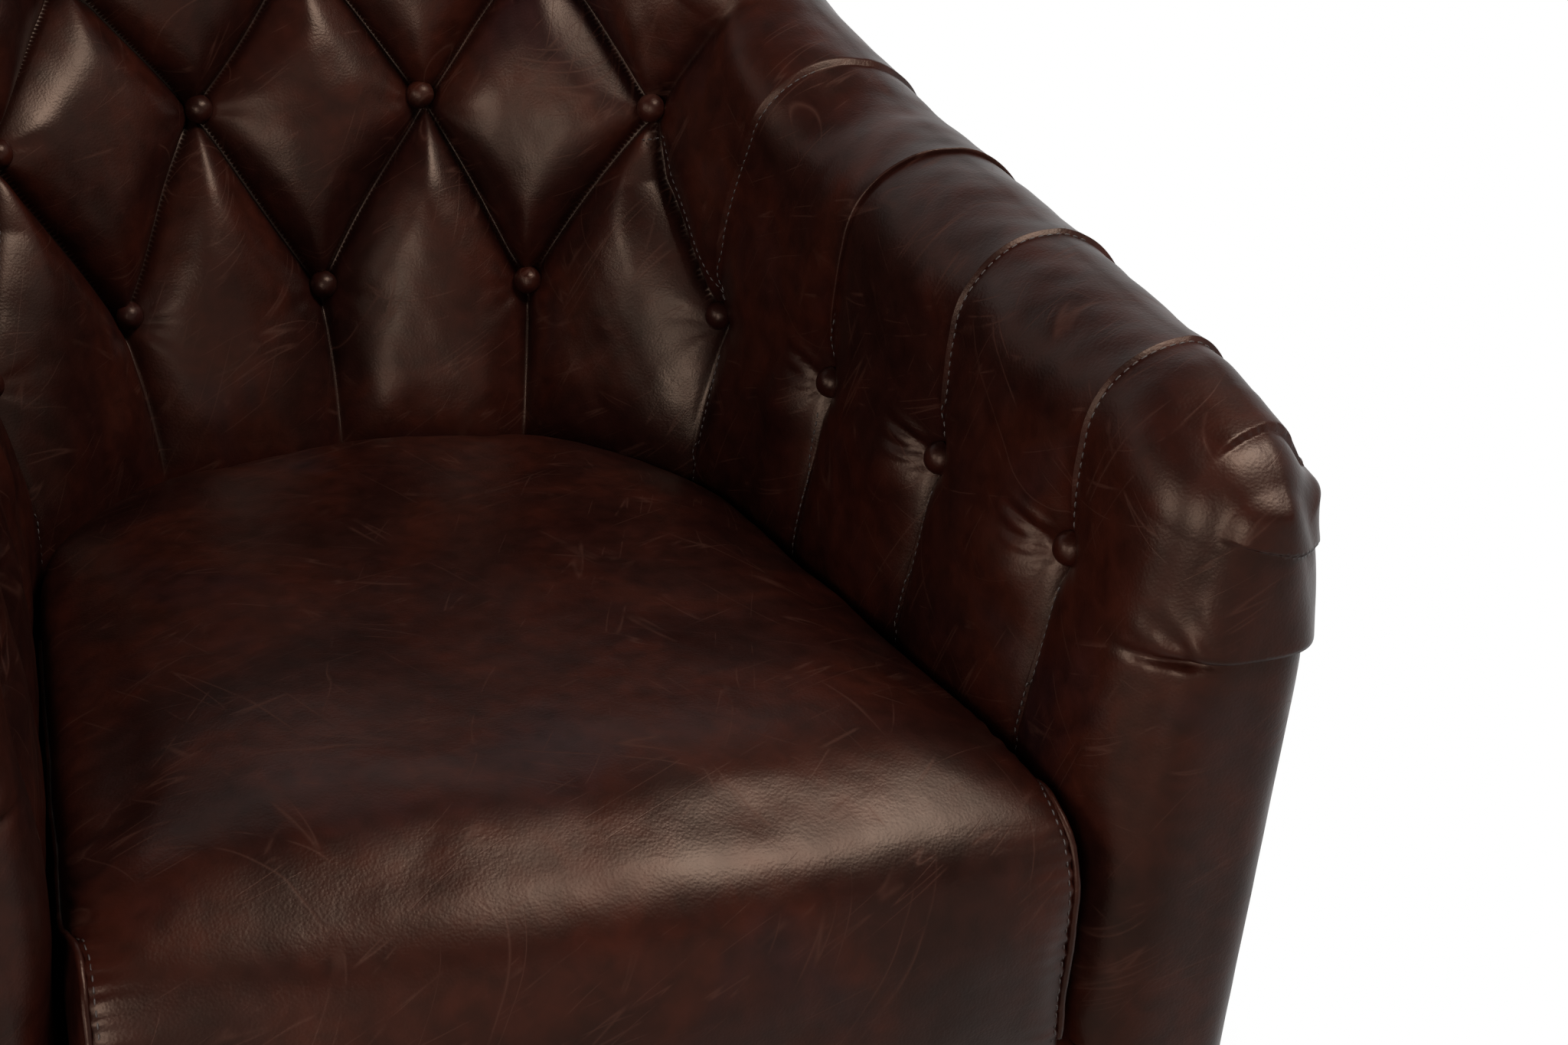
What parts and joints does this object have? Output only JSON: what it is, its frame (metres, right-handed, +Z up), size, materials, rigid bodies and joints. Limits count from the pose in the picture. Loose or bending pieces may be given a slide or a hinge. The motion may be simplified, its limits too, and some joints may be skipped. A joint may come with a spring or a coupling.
{
  "type": "leather tub chair",
  "caption": "Low tub armchair with a deep-buttoned leather inside back and arms, rolled top edge, loose waterfall seat cushion and tapered wooden legs.",
  "frame": {"origin": "on the floor under the middle of the chair's box", "axes": "+Z up, the chair faces -Y, +X to the sitter's left"},
  "size_m": [0.734, 0.7694, 0.8336],
  "materials": {
    "leather": "waxed antique leather, dark mottled brown",
    "cushion_leather": "waxed antique leather, dark mottled brown",
    "button_leather": "leather stretched over a button shell",
    "hessian": "woven jute over webbing",
    "webbing": "woven elastic webbing",
    "deck_cloth": "dark brown platform cloth",
    "dust_cloth": "black spunbonded cloth",
    "twine": "waxed nylon twine",
    "toggle_card": "moulded toggle",
    "steel": "zinc-plated steel",
    "glide_plastic": "nylon glide",
    "leg_wood": "dark stained beech, satin lacquer",
    "frame_wood": "raw beech"
  },
  "bodies": {
    "chair": {"arm_front_left": "leather", "arm_front_right": "leather", "arm_lining_left": "hessian", "arm_lining_right": "hessian", "arm_tacking_rail_left": "frame_wood", "arm_tacking_rail_right": "frame_wood", "arm_top_rail_left": "frame_wood", "arm_top_rail_right": "frame_wood", "back_centre_upright": "frame_wood", "back_lining": "hessian", "back_post_left": "frame_wood", "back_post_right": "frame_wood", "back_seat_rail": "frame_wood", "back_tacking_rail": "frame_wood", "button_twines": "twine", "corner_block_screws": "steel", "corner_blocks": "frame_wood", "crest_rail": "frame_wood", "crosswise_webbing": "webbing", "dust_cover": "dust_cloth", "front_border_panel": "leather", "front_post_left": "frame_wood", "front_post_right": "frame_wood", "front_seat_rail": "frame_wood", "leg_back_left": "leg_wood", "leg_back_right": "leg_wood", "leg_bolts": "steel", "leg_front_left": "leg_wood", "leg_front_right": "leg_wood", "leg_glides": "glide_plastic", "leg_plates": "steel", "lengthwise_webbing": "webbing", "lower_row_buttons": "button_leather", "middle_row_buttons": "button_leather", "outside_arm_panel_left": "leather", "outside_arm_panel_right": "leather", "outside_back_panel": "leather", "seat_deck": "deck_cloth", "side_seat_rail_left": "frame_wood", "side_seat_rail_right": "frame_wood", "top_row_buttons": "button_leather", "tufted_inside_arm_left": "leather", "tufted_inside_arm_right": "leather", "tufted_inside_back": "leather", "twine_toggles": "toggle_card"},
    "cushion": {"seat_cushion": "cushion_leather"}
  },
  "joints": [
    {"name": "cushion_lift", "type": "slide", "parent": "chair", "child": "cushion", "axis": [0, 0, 1], "range_m": [0, 0.57]}
  ]
}
